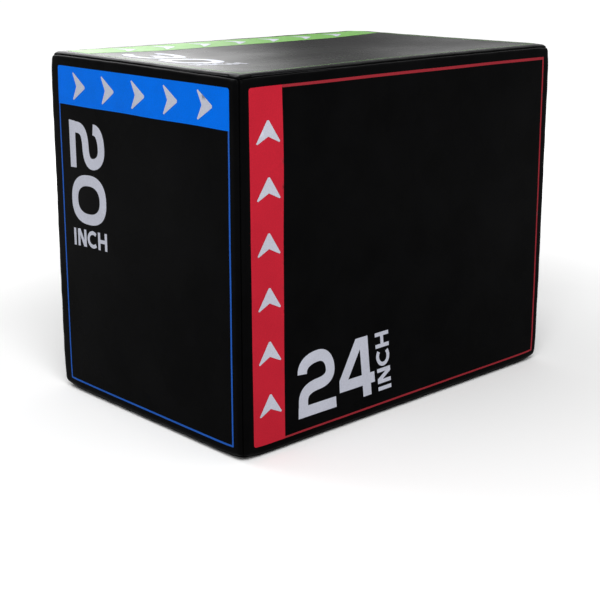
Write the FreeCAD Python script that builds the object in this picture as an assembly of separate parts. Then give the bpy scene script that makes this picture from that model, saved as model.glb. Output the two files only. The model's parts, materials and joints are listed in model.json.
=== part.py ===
import FreeCAD, Part
import math
import os

# Soft jump box: a glued foam block in a sewn vinyl cover, with a zipped door in its back.
# It stands on z = 0 with its middle over the origin. X runs along the long side, and Y from front to back.
# All lengths are in millimetres.

# Box: its three outer sides are the three heights that it can be turned to
BOX_LENGTH = 762.0
BOX_DEPTH = 508.0
BOX_HEIGHT = 609.6
EDGE_RADIUS = 14.0

# Vinyl cover: six panels, each turned in at a seam along the middle of every rounded edge
VINYL_THICKNESS = 0.9
COVER_EASE = 0.3
SEAM_GAP = 0.3
SEAM_ALLOWANCE = 9.0
SEAM_END_SPACE = 30.0

# Binding tape folded over the two turned-in edges of a seam
BINDING_WIDTH = 7.0
BINDING_THICKNESS = 0.5
BINDING_EASE = 0.15

# Foam: soft pads round a core of glued planks
PAD_THICKNESS = 25.0
PLANK_COUNT = 9

# Zip: an arch up one side of the back, across its top and down the other side
ZIP_INSET = 30.0
ZIP_CORNER_RADIUS = 32.0
ZIP_SLOT_WIDTH = 13.0
TAPE_WIDTH = 11.0
TAPE_THICKNESS = 0.6
TAPE_GAP = 2.0
CHAIN_WIDTH = 7.6
CHAIN_HEIGHT = 2.6
CHAIN_GAP = 2.0
STOP_LENGTH = 4.0
STOP_RISE = 0.4
STOP_END_SPACE = 3.0
FOLD_GAP = 0.4

# Slider: two plates on a post between the chains, with flanges outside them and a bail on top
SLIDER_LENGTH = 15.0
SLIDER_WIDTH = 12.0
SLIDER_PLATE = 1.3
SLIDER_EASE = 0.25
SLIDER_CORNER_RADIUS = 2.5
POST_WIDTH = 1.4
POST_LENGTH = 5.0
POST_END_SPACE = 1.2
BAIL_LENGTH = 11.0
BAIL_WIDTH = 3.2
BAIL_THICKNESS = 1.3
BAIL_OPENING = 2.6
BAIL_ROUNDING = 1.0

# Pull: a bar under the bail, an arm at each end of it and a flat tab with a cord hole
PULL_LENGTH = 34.0
PULL_WIDTH = 10.0
PULL_BAR_DIAMETER = 1.8
PULL_ARM_WIDTH = 2.0
PULL_NECK_EASE = 1.0
PULL_CORNER_RADIUS = 2.0
PULL_EASE = 0.3
PULL_HOLE_DIAMETER = 4.5
PULL_HOLE_END_SPACE = 5.5
PULL_FLOOR_SPACE = 8.0
PULL_SWING_SPACE = 9.0

# Cuts run this far past the faces that they cut
OVERRUN = 5.0

ROOT_2 = math.sqrt(2.0)

# Places worked out from the sizes above
HALF = FreeCAD.Vector(BOX_LENGTH / 2, BOX_DEPTH / 2, BOX_HEIGHT / 2)
CENTRE = FreeCAD.Vector(0, 0, BOX_HEIGHT / 2)
FOAM_INSET = VINYL_THICKNESS + COVER_EASE
CORE_INSET = FOAM_INSET + PAD_THICKNESS
SEAM_START = EDGE_RADIUS * (ROOT_2 - 1)
SEAM_TIP = SEAM_START + VINYL_THICKNESS + SEAM_ALLOWANCE
BINDING_HALF = SEAM_GAP / 2 + VINYL_THICKNESS + BINDING_EASE
BINDING_TIP = SEAM_TIP + BINDING_EASE

# Layers of the zip, as places along Y
BACK_FACE = BOX_DEPTH / 2
TAPE_FACE = BACK_FACE - VINYL_THICKNESS
TAPE_BACK = TAPE_FACE - TAPE_THICKNESS
CHAIN_FACE = TAPE_FACE + CHAIN_HEIGHT
PLATE_BASE = CHAIN_FACE + SLIDER_EASE
PLATE_TOP = PLATE_BASE + SLIDER_PLATE
LOWER_PLATE_TOP = TAPE_BACK - SLIDER_EASE
LOWER_PLATE_BASE = LOWER_PLATE_TOP - SLIDER_PLATE
PULL_AXIS_Y = PLATE_TOP + BAIL_OPENING / 2

# Heights along the zip, counted up from the tip of the hanging pull
BAIL_WINDOW = BAIL_LENGTH - 2 * BAIL_THICKNESS
PULL_AXIS_Z = PULL_FLOOR_SPACE + PULL_LENGTH
SLIDER_MIDDLE = PULL_AXIS_Z - PULL_BAR_DIAMETER / 2 - PULL_EASE + BAIL_WINDOW / 2
PULL_NECK_LENGTH = SLIDER_MIDDLE + BAIL_LENGTH / 2 - PULL_AXIS_Z + PULL_NECK_EASE
CHAIN_END = SLIDER_MIDDLE - SLIDER_LENGTH / 2 - SLIDER_EASE
TAPE_END = CHAIN_END - STOP_LENGTH - STOP_END_SPACE
FOLD_HEIGHT = PULL_AXIS_Z + PULL_LENGTH + PULL_SWING_SPACE
SILL_TOP = FOLD_HEIGHT - FOLD_GAP / 2
DOOR_LOW = FOLD_HEIGHT + FOLD_GAP / 2
ZIP_HALF_SPAN = BOX_LENGTH / 2 - ZIP_INSET
ZIP_TOP = BOX_HEIGHT - ZIP_INSET

FACES = {
    "top": FreeCAD.Vector(0, 0, 1),
    "bottom": FreeCAD.Vector(0, 0, -1),
    "front": FreeCAD.Vector(0, -1, 0),
    "back": FreeCAD.Vector(0, 1, 0),
    "left": FreeCAD.Vector(-1, 0, 0),
    "right": FreeCAD.Vector(1, 0, 0),
}
EDGES_BY_GROUP = {
    "top_edges": [("top", side) for side in ("front", "back", "left", "right")],
    "bottom_edges": [("bottom", side) for side in ("front", "back", "left", "right")],
    "upright_edges": [(end, side) for end in ("left", "right") for side in ("front", "back")],
}
ALL_EDGES = [edge for edges in EDGES_BY_GROUP.values() for edge in edges]


def block(x, y, z):
    """A box from three (low, high) pairs."""
    low = FreeCAD.Vector(x[0], y[0], z[0])
    return Part.makeBox(x[1] - x[0], y[1] - y[0], z[1] - z[0], low)


def about(middle, size):
    """The (low, high) pair of that size about a middle."""
    return (middle - size / 2, middle + size / 2)


def extents(inset):
    """The (low, high) pairs of the whole box along x, y and z, drawn in by inset on every side."""
    low, high = CENTRE - HALF, CENTRE + HALF
    return [(near + inset, far - inset) for near, far in zip(low, high)]


def rounded_block(inset):
    """The whole box drawn in by inset on every side, with all its edges rounded."""
    shape = block(*extents(inset))
    return shape.makeFillet(EDGE_RADIUS - inset, shape.Edges)


def scaled(vector, sizes):
    """A vector with each of its components scaled by that of another."""
    return FreeCAD.Vector(vector.x * sizes.x, vector.y * sizes.y, vector.z * sizes.z)


def edges_along(shape, axis):
    """The straight edges of a box that run along one axis."""
    return [
        edge for edge in shape.Edges
        if abs(getattr(edge.tangentAt(edge.FirstParameter), axis)) > 1 / ROOT_2
    ]


# Cover panels

def face_rectangle(normal, depth):
    """A rectangle depth below a face, as much smaller on each side, and half a seam gap clear of the bevel."""
    first = next(face for face in FACES.values() if face * normal == 0)
    second = first.cross(normal)
    margin = depth + SEAM_GAP / ROOT_2
    middle = CENTRE + scaled(normal, HALF) - normal * depth
    first = scaled(first, HALF) - first * margin
    second = scaled(second, HALF) - second * margin
    corners = [first + second, first - second, -first - second, -first + second]
    return Part.makePolygon([middle + corner for corner in corners + corners[:1]])


def panel_sector(normal):
    """The part of the box that belongs to one face: its sides slope in at 45 degrees."""
    wires = [face_rectangle(normal, -OVERRUN), face_rectangle(normal, EDGE_RADIUS)]
    return Part.makeLoft(wires, True, True)


def edge_bar(face, other, inward, side, end_space):
    """A bar along an edge of the box, by its reach inward from the sharp edge and to the first face's side."""
    a, b = FACES[face], FACES[other]
    along = a.cross(b)
    into = (a + b) * (-1 / ROOT_2)
    to_side = (a - b) * (1 / ROOT_2)
    origin = CENTRE + scaled(a + b, HALF)
    length = 2 * scaled(along, HALF).Length - 2 * end_space
    bar = block(about(0, length), inward, side)
    bar.Placement = FreeCAD.Placement(FreeCAD.Matrix(
        along.x, into.x, to_side.x, origin.x,
        along.y, into.y, to_side.y, origin.y,
        along.z, into.z, to_side.z, origin.z,
        0, 0, 0, 1,
    ))
    return bar


def seam_allowance(face, other):
    """The edge of one panel, turned in between the two foam faces."""
    inward = (SEAM_START + VINYL_THICKNESS / 2, SEAM_TIP)
    side = (SEAM_GAP / 2, SEAM_GAP / 2 + VINYL_THICKNESS)
    return edge_bar(face, other, inward, side, SEAM_END_SPACE)


def cover_panel(face, shell):
    """One face of the cover with its half of each rounded edge and its turned-in seam edges."""
    normal = FACES[face]
    panel = shell.common(panel_sector(normal))
    sides = [other for other in FACES if FACES[other] * normal == 0]
    return panel.fuse([seam_allowance(face, other) for other in sides]).removeSplitter()


def seam_binding(face, other):
    """A strip of tape folded over the two turned-in edges of a seam."""
    start, end = BINDING_TIP - BINDING_WIDTH, BINDING_TIP + BINDING_THICKNESS
    width = 2 * (BINDING_HALF + BINDING_THICKNESS)
    strip = edge_bar(face, other, (start, end), about(0, width), SEAM_END_SPACE)
    inside = edge_bar(face, other, (start - OVERRUN, BINDING_TIP), about(0, 2 * BINDING_HALF), 0)
    return strip.cut(inside)


def back_frame(shell):
    """The fixed rim of the back: its border, its rounded edges and the sill below the fold."""
    through = (TAPE_FACE - OVERRUN, BACK_FACE + OVERRUN)
    slot_half = ZIP_SLOT_WIDTH / 2
    opening = arch_plate(slot_half, SILL_TOP, through)
    slot = zip_band(-slot_half, slot_half, TAPE_END, through)
    return cover_panel("back", shell).cut([opening, slot])


def back_door():
    """The panel inside the zip, which folds down over the sill."""
    return arch_plate(-ZIP_SLOT_WIDTH / 2, DOOR_LOW, (TAPE_FACE, BACK_FACE))


# Foam

def seam_slot(face, other):
    """The room that a bound seam takes up in the edge of the foam."""
    reach = BINDING_TIP + BINDING_THICKNESS + COVER_EASE
    width = 2 * (BINDING_HALF + BINDING_THICKNESS + COVER_EASE)
    return edge_bar(face, other, (0, reach), about(0, width), SEAM_END_SPACE - COVER_EASE)


def foam_pads():
    """Six pads: front and back are full size, top and bottom fit between them, and the ends between all four."""
    (x, y, z), (core_x, core_y, core_z) = extents(FOAM_INSET), extents(CORE_INSET)
    blocks = {
        "front": block(x, (y[0], core_y[0]), z),
        "back": block(x, (core_y[1], y[1]), z),
        "bottom": block(x, core_y, (z[0], core_z[0])),
        "top": block(x, core_y, (core_z[1], z[1])),
        "left": block((x[0], core_x[0]), core_y, core_z),
        "right": block((core_x[1], x[1]), core_y, core_z),
    }
    envelope = rounded_block(FOAM_INSET)
    slots = [seam_slot(*edge) for edge in ALL_EDGES]
    pads = {face: shape.common(envelope).cut(slots) for face, shape in blocks.items()}
    pads["back"] = pads["back"].cut(zip_reliefs())
    return pads


def zip_reliefs():
    """The room that the tapes and the slider's lower plate press into the back pad."""
    outside = BACK_FACE + OVERRUN
    tape_half = TAPE_WIDTH + COVER_EASE
    slider_half = SLIDER_WIDTH / 2 + SLIDER_EASE
    low = TAPE_END - COVER_EASE
    return [
        zip_band(-tape_half, tape_half, low, (TAPE_BACK - COVER_EASE, outside)),
        zip_band(-slider_half, slider_half, low, (LOWER_PLATE_BASE - SLIDER_EASE, outside)),
    ]


def core_planks():
    """The core's planks, stacked from front to back."""
    x, y, z = extents(CORE_INSET)
    thickness = (y[1] - y[0]) / PLANK_COUNT
    starts = [y[0] + number * thickness for number in range(PLANK_COUNT)]
    return [block(x, (start, start + thickness), z) for start in starts]


# Zip

def arch_edges(offset, low, y):
    """The zip's arch, moved outward by offset, from its left lower end over the top to its right lower end."""
    radius = ZIP_CORNER_RADIUS + offset
    side, top = ZIP_HALF_SPAN + offset, ZIP_TOP + offset
    corner_x, corner_z = ZIP_HALF_SPAN - ZIP_CORNER_RADIUS, ZIP_TOP - ZIP_CORNER_RADIUS
    bend_x, bend_z = corner_x + radius / ROOT_2, corner_z + radius / ROOT_2

    def at(x, z):
        return FreeCAD.Vector(x, y, z)

    return [
        Part.LineSegment(at(-side, low), at(-side, corner_z)).toShape(),
        Part.Arc(at(-side, corner_z), at(-bend_x, bend_z), at(-corner_x, top)).toShape(),
        Part.LineSegment(at(-corner_x, top), at(corner_x, top)).toShape(),
        Part.Arc(at(corner_x, top), at(bend_x, bend_z), at(side, corner_z)).toShape(),
        Part.LineSegment(at(side, corner_z), at(side, low)).toShape(),
    ]


def arch_end(edges, end):
    """The left (0) or right (-1) lower end of an arch."""
    return edges[end].Vertexes[end].Point


def extruded(edges, y):
    """A solid between two y places, from the edges of its outline."""
    face = Part.Face(Part.Wire(Part.__sortEdges__(edges)))
    return face.extrude(FreeCAD.Vector(0, y[1] - y[0], 0))


def zip_band(near, far, low, y):
    """A band along the zip between two offsets from its middle, down to low."""
    inside, outside = arch_edges(near, low, y[0]), arch_edges(far, low, y[0])
    closing = [Part.makeLine(arch_end(inside, end), arch_end(outside, end)) for end in (0, -1)]
    return extruded(inside + outside + closing, y)


def arch_plate(offset, low, y):
    """A plate that fills the zip's arch out to an offset, down to low."""
    arch = arch_edges(offset, low, y[0])
    sill = Part.makeLine(arch_end(arch, 0), arch_end(arch, -1))
    return extruded(arch + [sill], y)


def inner_ends(near, far, low, y):
    """The two lower ends of a strip on the door's side of the zip, below the fold."""
    ends = [
        block(sorted((way * (ZIP_HALF_SPAN - near), way * (ZIP_HALF_SPAN - far))), y, (low, SILL_TOP))
        for way in (-1, 1)
    ]
    return Part.makeCompound(ends)


def zip_parts():
    """The tapes, the chains and their stops, by name."""
    tape, chain = (TAPE_BACK, TAPE_FACE), (TAPE_FACE, CHAIN_FACE)
    tape_near, chain_near, chain_far = TAPE_GAP / 2, CHAIN_GAP / 2, CHAIN_WIDTH / 2
    stop_near, stop_far = chain_near - STOP_RISE, chain_far + STOP_RISE
    stop_y = (TAPE_FACE, CHAIN_FACE + STOP_RISE)
    stop_z = (CHAIN_END - STOP_LENGTH, CHAIN_END)
    closed_stops = [
        block(sorted((ZIP_HALF_SPAN + way * stop_near, ZIP_HALF_SPAN + way * stop_far)), stop_y, stop_z)
        for way in (-1, 1)
    ]
    return {
        "zip_outer_tape": zip_band(tape_near, TAPE_WIDTH, TAPE_END, tape),
        "zip_door_tape": zip_band(-TAPE_WIDTH, -tape_near, DOOR_LOW, tape),
        "zip_sill_tapes": inner_ends(tape_near, TAPE_WIDTH, TAPE_END, tape),
        "zip_outer_chain": zip_band(chain_near, chain_far, CHAIN_END, chain),
        "zip_door_chain": zip_band(-chain_far, -chain_near, DOOR_LOW, chain),
        "zip_sill_chains": inner_ends(chain_near, chain_far, CHAIN_END, chain),
        "zip_closed_end_stops": Part.makeCompound(closed_stops),
        "zip_open_end_stop": block(about(-ZIP_HALF_SPAN, 2 * stop_far), stop_y, stop_z),
    }


def slider():
    """The zip slider, parked at the lower right end of the zip."""
    length = about(SLIDER_MIDDLE, SLIDER_LENGTH)
    width = about(ZIP_HALF_SPAN, SLIDER_WIDTH)
    lower_plate = block(width, (LOWER_PLATE_BASE, LOWER_PLATE_TOP), length)
    lower_plate = lower_plate.makeFillet(SLIDER_CORNER_RADIUS, edges_along(lower_plate, "y"))
    hood = block(width, (TAPE_FACE + SLIDER_EASE, PLATE_TOP), length)
    hood = hood.makeFillet(SLIDER_CORNER_RADIUS, edges_along(hood, "y"))
    channel = block(
        about(ZIP_HALF_SPAN, CHAIN_WIDTH + 2 * SLIDER_EASE),
        (LOWER_PLATE_BASE, PLATE_BASE),
        about(SLIDER_MIDDLE, SLIDER_LENGTH + 2 * OVERRUN),
    )
    post_top = length[1] - POST_END_SPACE
    post = block(
        about(ZIP_HALF_SPAN, POST_WIDTH),
        (LOWER_PLATE_BASE, PLATE_TOP),
        (post_top - POST_LENGTH, post_top),
    )
    return hood.cut(channel).fuse([lower_plate, post, bail()]).removeSplitter()


def bail():
    """The small bridge on the slider that holds the pull."""
    top = PLATE_TOP + BAIL_OPENING + BAIL_THICKNESS
    arch = block(about(ZIP_HALF_SPAN, BAIL_WIDTH), (PLATE_TOP, top), about(SLIDER_MIDDLE, BAIL_LENGTH))
    crown = [edge for edge in edges_along(arch, "x") if edge.CenterOfMass.y > PULL_AXIS_Y]
    window = block(
        about(ZIP_HALF_SPAN, BAIL_WIDTH + 2 * OVERRUN),
        (PLATE_TOP, PLATE_TOP + BAIL_OPENING),
        about(SLIDER_MIDDLE, BAIL_WINDOW),
    )
    return arch.makeFillet(BAIL_ROUNDING, crown).cut(window)


def pull():
    """The pull, hanging from the bail."""
    arm_near = BAIL_WIDTH / 2 + PULL_EASE
    arm_far = arm_near + PULL_ARM_WIDTH
    axis_start = FreeCAD.Vector(ZIP_HALF_SPAN - arm_far, PULL_AXIS_Y, PULL_AXIS_Z)
    bar = Part.makeCylinder(PULL_BAR_DIAMETER / 2, 2 * arm_far, axis_start, FreeCAD.Vector(1, 0, 0))
    thickness = about(PULL_AXIS_Y, PULL_BAR_DIAMETER)
    end, neck = PULL_AXIS_Z - PULL_LENGTH, PULL_AXIS_Z - PULL_NECK_LENGTH
    arms = [
        block(
            sorted((ZIP_HALF_SPAN + way * arm_near, ZIP_HALF_SPAN + way * arm_far)),
            thickness,
            (neck - PULL_CORNER_RADIUS, PULL_AXIS_Z),
        )
        for way in (-1, 1)
    ]
    tab = block(about(ZIP_HALF_SPAN, PULL_WIDTH), thickness, (end, neck))
    tab = tab.makeFillet(PULL_CORNER_RADIUS, edges_along(tab, "y"))
    hole = Part.makeCylinder(
        PULL_HOLE_DIAMETER / 2,
        PULL_BAR_DIAMETER + 2 * OVERRUN,
        FreeCAD.Vector(ZIP_HALF_SPAN, thickness[0] - OVERRUN, end + PULL_HOLE_END_SPACE),
        FreeCAD.Vector(0, 1, 0),
    )
    return bar.fuse(arms + [tab]).cut(hole).removeSplitter()


def all_parts():
    """Every node's shape by name."""
    shell = rounded_block(0).cut(rounded_block(VINYL_THICKNESS))
    parts = {f"cover_{face}_panel": cover_panel(face, shell) for face in FACES if face != "back"}
    parts["cover_back_frame"] = back_frame(shell)
    parts["cover_back_door"] = back_door()
    parts.update({
        f"seam_binding_{group}": Part.makeCompound([seam_binding(*edge) for edge in edges])
        for group, edges in EDGES_BY_GROUP.items()
    })
    parts.update({f"foam_pad_{face}": pad for face, pad in foam_pads().items()})
    parts.update({f"core_plank_{number}": plank for number, plank in enumerate(core_planks(), 1)})
    parts.update(zip_parts())
    parts["zip_slider"] = slider()
    parts["zip_pull"] = pull()
    return parts


os.makedirs("parts", exist_ok=True)
for name, shape in all_parts().items():
    shape.exportStep(os.path.join("parts", name + ".step"))
    print(name, "solids", len(shape.Solids), "valid", shape.isValid(), "volume", round(shape.Volume))

# Places that the joints take
print("door hinge along X at y, z:", CHAIN_FACE, FOLD_HEIGHT)
print("pull hinge along X at y, z:", PULL_AXIS_Y, PULL_AXIS_Z)
print("slider travel up the straight side:", ZIP_TOP - ZIP_CORNER_RADIUS - SLIDER_MIDDLE - SLIDER_LENGTH / 2)
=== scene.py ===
"""Looks of the soft jump box: its sewn vinyl cover, printed height marks, zipped door and foam.

All sizes are in metres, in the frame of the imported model: X along the box, Y from its front to
its back, Z up.
"""

import json
import math

import bpy
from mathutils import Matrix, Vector, noise
from mathutils.geometry import delaunay_2d_cdt


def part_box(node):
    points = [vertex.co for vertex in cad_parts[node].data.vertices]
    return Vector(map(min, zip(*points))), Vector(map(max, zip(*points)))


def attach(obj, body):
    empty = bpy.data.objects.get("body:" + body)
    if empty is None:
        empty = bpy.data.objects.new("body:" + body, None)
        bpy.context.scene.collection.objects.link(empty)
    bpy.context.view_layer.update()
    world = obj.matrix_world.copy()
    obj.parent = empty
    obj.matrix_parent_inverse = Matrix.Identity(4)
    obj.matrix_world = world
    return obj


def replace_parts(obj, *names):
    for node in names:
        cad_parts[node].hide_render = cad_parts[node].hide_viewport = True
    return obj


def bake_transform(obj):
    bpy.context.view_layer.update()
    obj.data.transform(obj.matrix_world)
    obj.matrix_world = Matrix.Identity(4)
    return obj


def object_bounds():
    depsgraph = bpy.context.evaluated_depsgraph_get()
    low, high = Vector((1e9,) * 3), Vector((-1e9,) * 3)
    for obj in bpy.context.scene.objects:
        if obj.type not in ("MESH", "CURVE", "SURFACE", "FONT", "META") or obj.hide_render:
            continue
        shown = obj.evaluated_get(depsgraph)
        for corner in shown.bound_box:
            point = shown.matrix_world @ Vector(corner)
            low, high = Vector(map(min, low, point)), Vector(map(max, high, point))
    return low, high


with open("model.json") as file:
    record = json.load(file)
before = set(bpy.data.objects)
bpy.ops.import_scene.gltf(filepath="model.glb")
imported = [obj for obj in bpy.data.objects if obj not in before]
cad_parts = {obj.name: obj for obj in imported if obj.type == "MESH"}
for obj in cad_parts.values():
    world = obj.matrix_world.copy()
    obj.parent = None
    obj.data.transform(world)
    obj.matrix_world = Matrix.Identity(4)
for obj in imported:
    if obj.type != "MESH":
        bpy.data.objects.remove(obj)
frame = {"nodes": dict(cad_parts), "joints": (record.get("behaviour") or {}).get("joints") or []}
cad_low, cad_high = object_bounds()

# Box, from the frame
HALF = Vector((cad_high.x, -cad_low.y, cad_high.z / 2))
MIDDLE = Vector((0, 0, HALF.z))

# Cover: its rounded edges, the rows of points near a seam, the cells between them, and how
# outlines are filled
EDGE_RADIUS = 0.014
HALF_BEND = EDGE_RADIUS * math.pi / 4
VINYL_THICKNESS = 0.0009
SEAM_ROLL, SEAM_LIP = 0.0034, 0.006
CELL = 0.0065
EDGE_ROWS = (
    0, 0.0001, 0.0004, 0.0009, 0.0016, 0.0025, 0.0035, 0.005, 0.007, 0.009, 0.011, 0.0145,
    0.0185, 0.024,
)
FLOOR_CLEARANCE = 0.0004
WHOLE_HULL, SAME_PLACE = 0, 1e-7

# How the cover lies: sides with a slight crown, a top that has sunk between its rims, long soft
# waves, puckers along the seams, drawn-in corners of which the lower ones lift, and a rim that
# is pressed down round one upper corner
CROWN = 0.0010
TOP_SAG, SAG_REACH = 0.0092, 0.21
WAVE_HEIGHT, TOP_WAVE_HEIGHT, WAVE_LENGTH, WAVE_EASE = 0.0036, 0.0014, 0.15, 0.07
EDGE_WAVE_SHARE, WAVE_SEED = 0.06, 8
PUCKER_HEIGHT, PUCKER_LENGTH, PUCKER_REACH = 0.0008, 0.024, 0.013
CORNER_DRAW, CORNER_LIFT, CORNER_REACH = 0.0026, 0.0038, 0.028
CORNER_CREASE, CREASE_LENGTH = 0.0008, 0.017
PRESSED_CORNER = Vector((-HALF.x, -HALF.y, 2 * HALF.z))
PRESS_DEPTH, PRESS_REACH, PRESS_FALL = 0.0044, 0.24, 0.022

# Foam pads inside the cover
FOAM_CELL, FOAM_CROWDING, FOAM_EASE = 0.012, 0.4, 0.0022
FOAM_EDGE_DRAW, FOAM_EDGE_REACH = 0.009, 0.016
ZIP_PRESS, ZIP_PRESS_REACH = 0.0035, 0.016

# Zip, from the frame: its middle line is an arch on the back, and the door lies inside it
CHAIN_LOW, CHAIN_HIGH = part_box("zip_outer_chain")
TAPE_LOW, TAPE_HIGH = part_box("zip_outer_tape")
CHAIN_HALF, CHAIN_GAP_HALF = 0.0038, 0.001
ZIP_HALF_SPAN = CHAIN_HIGH.x - CHAIN_HALF
ZIP_TOP = CHAIN_HIGH.z - CHAIN_HALF
ZIP_CORNER_RADIUS, ZIP_SLOT_HALF = 0.032, 0.0065
DOOR_HALF = ZIP_HALF_SPAN - ZIP_SLOT_HALF
ARCH_STEP, FINE_ARCH_STEP, ARCH_BENDS = 0.006, 0.002, 10
FOLD_HEIGHT = next(
    joint["pos_m"][2] for joint in frame["joints"] if joint["name"] == "door_fold"
)
FOLD_HALF, FOLD_ROWS, SILL_ROWS = 0.009, 17, 8
HEM_DEPTH, HEM_WIDTH, HEM_ROWS = 0.0007, 0.003, (0.25, 0.6, 1.0)

# Teeth: their sizes at the near end, the swelling and the far end; stitches: (place, size) rings
TOOTH_PITCH, TOOTH_SHARE, TOOTH_SWELLING = 0.0031, 0.74, 0.25
TOOTH_SIZES, TOOTH_SIDES, TOOTH_LOWEST = (0.62, 1.0, 0.86), 7, 0.55
STITCH_INSET, STITCH_LENGTH, STITCH_GAP = 0.0034, 0.0038, 0.0013
STITCH_RINGS = ((-1.0, 0.35), (-0.75, 0.9), (0.0, 1.0), (0.75, 0.9), (1.0, 0.35))
STITCH_RISE, STITCH_DIP = 0.35, 0.7
THREAD_RADIUS, THREAD_SIDES = 0.00036, 6

# Printed marks, in each face's reading position
INK_LIFT, SECOND_INK_LIFT, INK_STEP = 0.00022, 0.00040, 0.008
INK_COLOURS = {
    "red": (0.525, 0.0165, 0.034), "blue": (0.0, 0.155, 0.82), "green": (0.15, 0.37, 0.075),
    "white": (0.545, 0.56, 0.645),
}
LINE_INK_SHARE, LINE_GREY_SHARE = 0.68, 0.16
BRIGHTNESS_SHARES = (0.21, 0.72, 0.07)
BAND_CORNER, BAND_CORNER_SHARE = 0.004, 0.3
CHEVRON_WIDTH, CHEVRON_LENGTH, CHEVRON_NOTCH, CHEVRON_BLUNT = 0.0470, 0.0350, 0.0105, 0.0018
DIGIT_WIDTH, DIGIT_HEIGHT, DIGIT_STROKE, DIGIT_PITCH = 0.0868, 0.1095, 0.0200, 0.0937
UNIT_HEIGHT, UNIT_LENGTH, UNIT_STROKE, UNIT_RISE = 0.0325, 0.1055, 0.0070, 0.0016
CURVE_STEPS, OVAL_STEPS, OVAL_POWER = 10, 48, 2.4

# Each face's marks. First the band: the border's insets at its left, low, right and high side,
# the band's width, the border lines' widths at the low, right and high side, the places of the
# lowest and the highest chevron's foot and their count, how far the chevrons sit beside the
# band's middle, and how much all this is askew. Then the height: its number, the gap to its
# unit, its start, baseline, lean, and size across and up.
MARKS = {
    "front": (
        {"colour": "red", "insets": (0.0235, 0.0190, 0.0200, 0.0222), "band_width": 0.0665,
         "lines": (0.0034, 0.0036, 0.0048), "feet": (0.0670, 0.5000, 6), "beside": 0.0032,
         "skew": -0.008},
        {"number": "24", "gap": 0.0062, "start": 0.1205, "baseline": 0.0425, "lean": -0.106},
    ),
    "left": (
        {"colour": "blue", "insets": (0.0223, 0.0305, 0.0200, 0.0220), "band_width": 0.0655,
         "lines": (0.0034,) * 3, "feet": (0.0755, 0.4110, 5)},
        {"number": "20", "gap": 0.0191, "start": 0.1135, "baseline": 0.0595, "lean": -0.045,
         "size": (0.95, 0.94)},
    ),
    "top": (
        {"colour": "green", "insets": (0.0235,) * 4, "band_width": 0.0665,
         "lines": (0.0034,) * 3, "feet": (0.1120, 0.6260, 7)},
        {"number": "30", "gap": 0.0150, "start": 0.1170, "baseline": 0.0560},
    ),
}

# Studio: screens that only reflections show, each by azimuth, elevation and the angles at which
# it starts and has ended fading, in degrees; the back one's level changes at upright lines, each
# by azimuth, half width and change
BACK_SCREEN, BACK_LEVEL = (40, 8, 22, 32), 3.4
BACK_STEPS = ((40.6, 2.8, -4.1), (47.0, 2.0, 0.8))
SIDE_SCREENS = (((5, 42, 12, 28), 9.0), ((85, 43, 12, 28), 3.0))
FILL_LEVEL = 0.60
LAMPS = (
    ("key", (-1.25, -1.6, 2.35), (1.5, 1.5), 54.0),
    ("rim", (-0.9, 2.6, 2.7), (2.2, 0.9), 35.0),
)
FLOOR_REACH, FLOOR_BOUNCE = 60.0, 0.50
FLOOR_WHITENESS = {"From Min": 0.7, "From Max": 2.2, "To Min": 0.95, "To Max": 1.75}

# Camera: its place, its angles in degrees, its lens and sensor in millimetres
VIEW_PLACE, VIEW_AZIMUTH, VIEW_ELEVATION = (-1.5867, -1.6675, 0.7995), -43.22, 13.98
VIEW_LENS, VIEW_SENSOR, VIEW_SHIFT = 76.5, 36.0, -0.075

noise.seed_set(WAVE_SEED)


class Face:
    """One side of the box, in the position in which its marks read upright."""

    def __init__(self, normal, right, up):
        self.normal, self.right, self.up = Vector(normal), Vector(right), Vector(up)
        self.depth, self.width, self.height = (
            2 * sum(abs(way) * half for way, half in zip(axis, HALF))
            for axis in (normal, right, up)
        )


FACES = {
    "front": Face((0, -1, 0), (1, 0, 0), (0, 0, 1)),
    "left": Face((-1, 0, 0), (0, 0, -1), (0, -1, 0)),
    "top": Face((0, 0, 1), (0, -1, 0), (1, 0, 0)),
    "right": Face((1, 0, 0), (0, 1, 0), (0, 0, 1)),
    "bottom": Face((0, 0, -1), (1, 0, 0), (0, -1, 0)),
    "back": Face((0, 1, 0), (-1, 0, 0), (0, 0, 1)),
}


# The cover's surface

def smooth_step(share):
    """0 to 1 without a kink at either end."""
    share = min(max(share, 0.0), 1.0)
    return share * share * (3 - 2 * share)


def sunk(side):
    """How much of the top's sag is reached at a distance from a rim, from 0 to 1."""
    share = min(side / SAG_REACH, 1.0)
    return (smooth_step(share) + share * (2 - share)) / 2


def pressed(point):
    """How far the rim is pressed down at a point."""
    aside = (point - PRESSED_CORNER).xy.length / PRESS_REACH
    below = (PRESSED_CORNER.z - point.z) / PRESS_FALL
    return PRESS_DEPTH * math.exp(-aside * aside - below * below)


def past_flat(place, length):
    """How far a place from a face's middle lies in the rounded edge, with its sign."""
    past = max(abs(place) - (length / 2 - EDGE_RADIUS), 0.0)
    return math.copysign(past, place)


def seam_distance(side):
    """The way along the skin to the seam, from the distance to the edge of the sharp box."""
    if side < EDGE_RADIUS:
        return EDGE_RADIUS * (math.pi / 4 - math.atan((EDGE_RADIUS - side) / EDGE_RADIUS))
    return HALF_BEND + side - EDGE_RADIUS


def sharp_place(distance):
    """The distance to the edge of the sharp box, from the way along the skin to the seam."""
    if distance < HALF_BEND:
        return EDGE_RADIUS * (1 - math.tan(math.pi / 4 - distance / EDGE_RADIUS))
    return EDGE_RADIUS + distance - HALF_BEND


def seam_roll(distance):
    """How deep the panel's edge rolls in at a distance from its seam."""
    if distance >= SEAM_ROLL:
        return 0.0
    return SEAM_ROLL - math.sqrt(SEAM_ROLL ** 2 - (SEAM_ROLL - distance) ** 2)


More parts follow.
